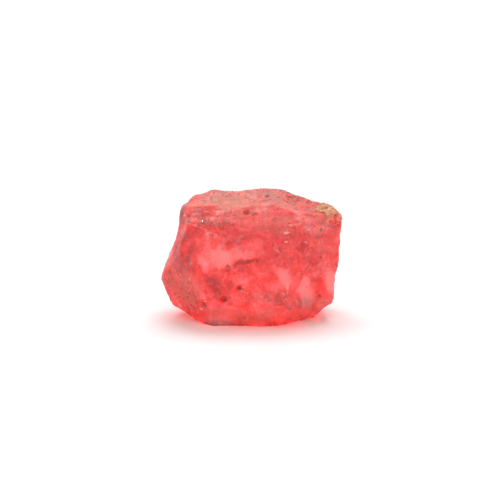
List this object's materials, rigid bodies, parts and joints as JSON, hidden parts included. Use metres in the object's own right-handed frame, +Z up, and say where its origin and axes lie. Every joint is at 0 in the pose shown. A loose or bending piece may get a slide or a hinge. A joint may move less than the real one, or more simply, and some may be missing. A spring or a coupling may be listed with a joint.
{
  "type": "rough spinel crystal",
  "caption": "Uncut blocky piece of translucent pinkish-red spinel with a flat top, broken faces, a level foot and a crust of host rock on one corner.",
  "frame": {"origin": "on the surface the stone rests on, under the middle of its box", "axes": "+Z up, +X along the longest side towards the corner with the crust, -Y towards the broad front face"},
  "size_m": [0.011, 0.007, 0.0073],
  "materials": {
    "spinel": "translucent pinkish-red crystal with satin to frosted broken faces, pale internal veils and brown stain in pits and along edges",
    "matrix": "opaque tan to cream granular host rock"
  },
  "bodies": {
    "root": {"spinel_crystal": "spinel", "matrix_crust": "matrix"}
  },
  "joints": []
}
